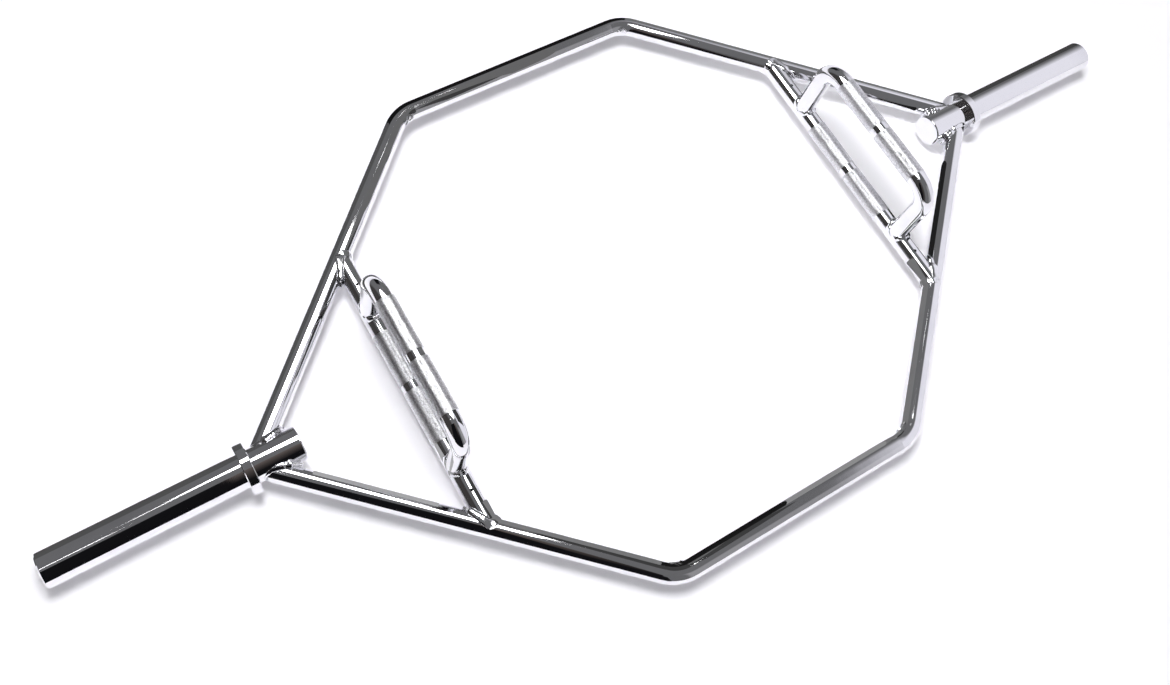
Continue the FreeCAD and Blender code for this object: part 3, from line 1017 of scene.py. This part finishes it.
class HEXBAR_OT_lay_handle_beads(Operator):
    """Lays the beads round the ends of the handle bars on the frame tubes"""
    bl_idname = "hexbar.lay_handle_beads"
    bl_label = "Lay Handle Beads"

    def execute(self, context):
        bead = context.scene.hex_bar_bead
        material = bead_plate(context.scene.hex_bar_chrome)
        lean = math.pi / 2 + NORMAL_TURN
        cross_y = (APEX_X - HANDLE_X) / math.tan(NORMAL_TURN)
        for (side, sign_x), (place, sign_y) in QUARTERS:
            origin = np.array((sign_x * HANDLE_X, sign_y * cross_y, AXIS_Z))
            main = np.array((-sign_x * math.sin(NORMAL_TURN), sign_y * math.cos(NORMAL_TURN), 0.0))
            across = np.array((-sign_x * math.cos(NORMAL_TURN), -sign_y * math.sin(NORMAL_TURN), 0.0))
            surface = saddle_bead(origin, main, across, TUBE_R, HANDLE_R, lean, bead.handle_leg, 1.0,
                                  3 * sign_x + sign_y, bead)
            piece = ring_bead(f"{side}_{place}_handle_bead", surface, material)
            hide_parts(f"{side}_{place}_handle_weld")
        return {"FINISHED"}


class HEXBAR_OT_lay_raised_beads(Operator):
    """Lays the beads round the feet of the raised handles"""
    bl_idname = "hexbar.lay_raised_beads"
    bl_label = "Lay Raised Beads"

    def execute(self, context):
        bead = context.scene.hex_bar_bead
        material = bead_plate(context.scene.hex_bar_chrome)
        for (side, sign_x), (place, sign_y) in QUARTERS:
            origin = np.array((sign_x * HANDLE_X, sign_y * LEG_Y, AXIS_Z))
            main = np.array((0.0, sign_y, 0.0))
            surface = saddle_bead(origin, main, UP, HANDLE_R, HANDLE_R, math.pi / 2, bead.raised_leg, 1.0,
                                  sign_x + 3 * sign_y, bead)
            piece = ring_bead(f"{side}_{place}_raised_bead", surface, material)
            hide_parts(f"{side}_{place}_raised_weld")
        return {"FINISHED"}


class HEXBAR_OT_lay_crease_beads(Operator):
    """Lays the beads in the creases on the inside of the frame's bends"""
    bl_idname = "hexbar.lay_crease_beads"
    bl_label = "Lay Crease Beads"

    def execute(self, context):
        bead = context.scene.hex_bar_bead
        material = bead_plate(context.scene.hex_bar_chrome)
        half_turn = (math.pi / 2 - NORMAL_TURN) / 2
        for (side, sign_x), (place, sign_y) in QUARTERS:
            corner = np.array((sign_x * CORNER_X, sign_y * CORNER_Y, AXIS_Z))
            inward = np.array((-sign_x * math.sin(half_turn), -sign_y * math.cos(half_turn), 0.0))
            along = np.cross(UP, inward)
            surface = crease_bead(corner, inward, along, half_turn, bead, sign_x + 2 * sign_y)
            piece = patch_bead(f"{side}_{place}_crease_bead", surface, material)
            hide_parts(f"{side}_{place}_corner_weld")
        return {"FINISHED"}


class HEXBAR_OT_set_stage(Operator):
    """Puts up the floor, the lamps, the screen, cards and flags, the surroundings and the camera"""
    bl_idname = "hexbar.set_stage"
    bl_label = "Set Stage"

    def execute(self, context):
        stage = context.scene.hex_bar_stage
        lay_floor(stage)
        hang_lamps(stage)
        stand_screen(stage)
        stand_low_cards(stage)
        stand_flags(stage)
        paint_surroundings(stage)
        stand_camera(stage)
        context.scene.view_settings.view_transform = "Standard"
        return {"FINISHED"}


class HEXBAR_PT_looks(Panel):
    """Lists the steps that dress the bar"""
    bl_idname = "HEXBAR_PT_looks"
    bl_label = "Hex Trap Bar"
    bl_space_type = "VIEW_3D"
    bl_region_type = "UI"
    bl_category = "Hex Bar"

    def draw(self, context):
        for step in STEPS:
            self.layout.operator(step.bl_idname)


SETTINGS = {
    "hex_bar_chrome": ChromeSettings,
    "hex_bar_knurl": KnurlSettings,
    "hex_bar_bead": BeadSettings,
    "hex_bar_stage": StageSettings,
}
STEPS = (
    HEXBAR_OT_plate_tubes,
    HEXBAR_OT_knurl_grips,
    HEXBAR_OT_lay_hub_beads,
    HEXBAR_OT_lay_handle_beads,
    HEXBAR_OT_lay_raised_beads,
    HEXBAR_OT_lay_crease_beads,
    HEXBAR_OT_set_stage,
)


def register():
    """Adds the settings, the steps and the panel to Blender."""
    for name, group in SETTINGS.items():
        bpy.utils.register_class(group)
        setattr(bpy.types.Scene, name, PointerProperty(type=group))
    for step in STEPS:
        bpy.utils.register_class(step)
    bpy.utils.register_class(HEXBAR_PT_looks)


def unregister():
    """Takes them away again."""
    bpy.utils.unregister_class(HEXBAR_PT_looks)
    for step in reversed(STEPS):
        bpy.utils.unregister_class(step)
    for name, group in reversed(SETTINGS.items()):
        delattr(bpy.types.Scene, name)
        bpy.utils.unregister_class(group)


def main():
    """Dresses the bar step by step."""
    register()
    bpy.ops.hexbar.plate_tubes()
    bpy.ops.hexbar.knurl_grips()
    bpy.ops.hexbar.lay_hub_beads()
    bpy.ops.hexbar.lay_handle_beads()
    bpy.ops.hexbar.lay_raised_beads()
    bpy.ops.hexbar.lay_crease_beads()
    bpy.ops.hexbar.set_stage()
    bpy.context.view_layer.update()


if __name__ == "__main__":
    main()
